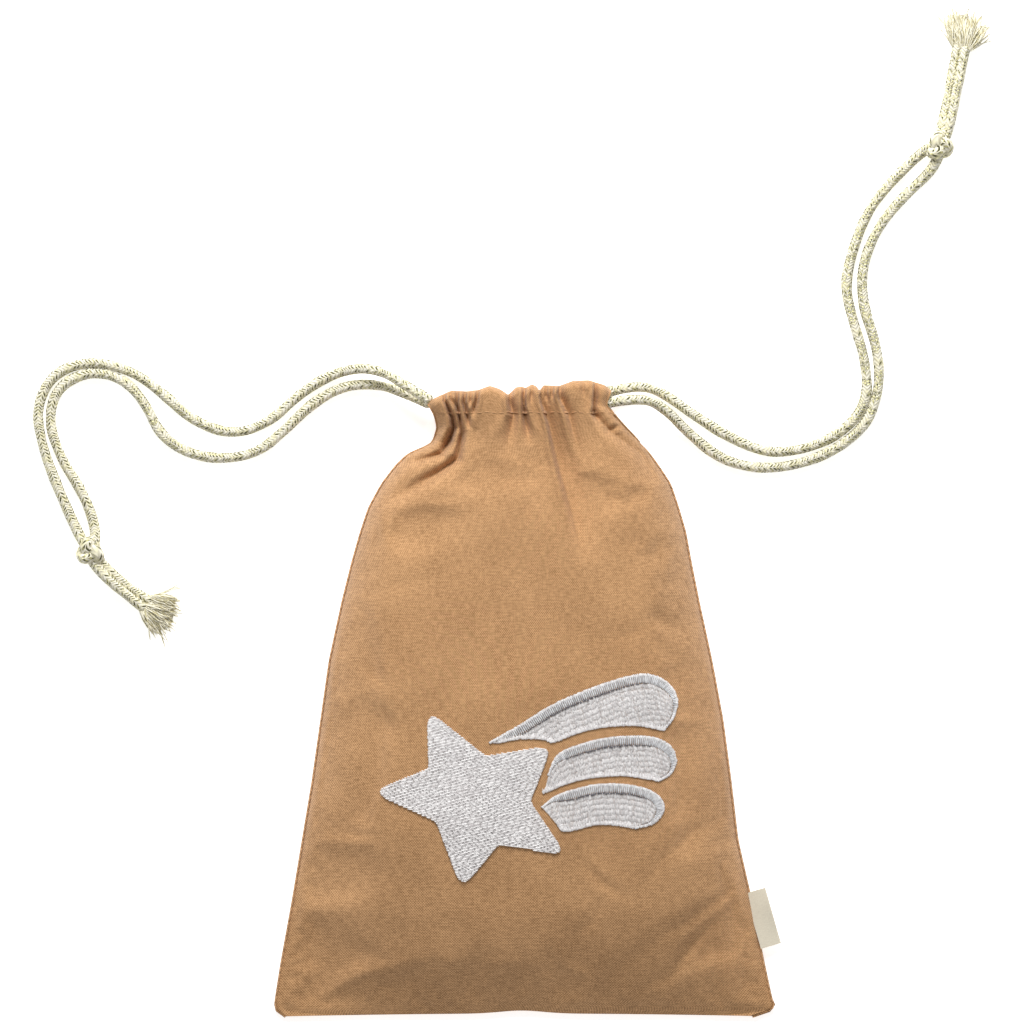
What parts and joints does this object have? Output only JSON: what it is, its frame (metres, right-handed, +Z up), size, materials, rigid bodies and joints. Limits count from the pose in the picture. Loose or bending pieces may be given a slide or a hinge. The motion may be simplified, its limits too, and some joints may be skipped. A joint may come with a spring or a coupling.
{
  "type": "fabric gift sack",
  "caption": "Caramel cotton drawstring sack lying flat, with a gathered mouth, braided cords knotted at each side and a star with curved streaks embroidered on its front.",
  "frame": {"origin": "centre of the sack's underside, without the cords, on the surface it lies on", "axes": "+X to the right as the front is looked at, +Y from the foot to the mouth, +Z up out of the front"},
  "size_m": [0.3798, 0.3944, 0.0301],
  "materials": {
    "sack_cloth": "woven cotton, matt",
    "seam_thread": "spun polyester thread",
    "silver_thread": "off-white embroidery with a silver glint",
    "grey_thread": "grey embroidery thread",
    "backing_cloth": "tear-away backing",
    "label_tape": "woven tape, satin",
    "braided_cord": "cream cotton braid with gold-coloured flecks"
  },
  "bodies": {
    "sack": {"front_panel": "sack_cloth", "back_panel": "sack_cloth", "front_casing": "sack_cloth", "back_casing": "sack_cloth", "left_side_seam": "seam_thread", "right_side_seam": "seam_thread", "bottom_seam": "seam_thread", "front_casing_stitching": "seam_thread", "back_casing_stitching": "seam_thread", "star_embroidery": "silver_thread", "upper_streak": "silver_thread", "middle_streak": "silver_thread", "lower_streak": "silver_thread", "upper_shade_line": "grey_thread", "middle_shade_line": "grey_thread", "lower_shade_line": "grey_thread", "embroidery_backing": "backing_cloth", "side_label": "label_tape"},
    "left_cord": {"left_cord_channel_loop": "braided_cord", "left_cord_front_strand": "braided_cord", "left_cord_back_strand": "braided_cord", "left_knot": "braided_cord", "left_inner_tail": "braided_cord", "left_outer_tail": "braided_cord", "left_inner_frayed_end": "braided_cord", "left_outer_frayed_end": "braided_cord"},
    "right_cord": {"right_cord_channel_loop": "braided_cord", "right_cord_front_strand": "braided_cord", "right_cord_back_strand": "braided_cord", "right_knot": "braided_cord", "right_inner_tail": "braided_cord", "right_outer_tail": "braided_cord", "right_inner_frayed_end": "braided_cord", "right_outer_frayed_end": "braided_cord"}
  },
  "joints": [
    {"name": "left_cord_pull", "type": "slide", "parent": "sack", "child": "left_cord", "axis": [-1, 0, 0], "range_m": [0, 0.0166], "deforming": ["front_casing", "back_casing", "front_casing_stitching", "back_casing_stitching"]},
    {"name": "right_cord_pull", "type": "slide", "parent": "sack", "child": "right_cord", "axis": [1, 0, 0], "range_m": [0, 0.0166], "deforming": ["front_casing", "back_casing", "front_casing_stitching", "back_casing_stitching"]}
  ],
  "couplings": [
    {"joint": "right_cord_pull", "follows": "left_cord_pull", "ratio": 1}
  ]
}
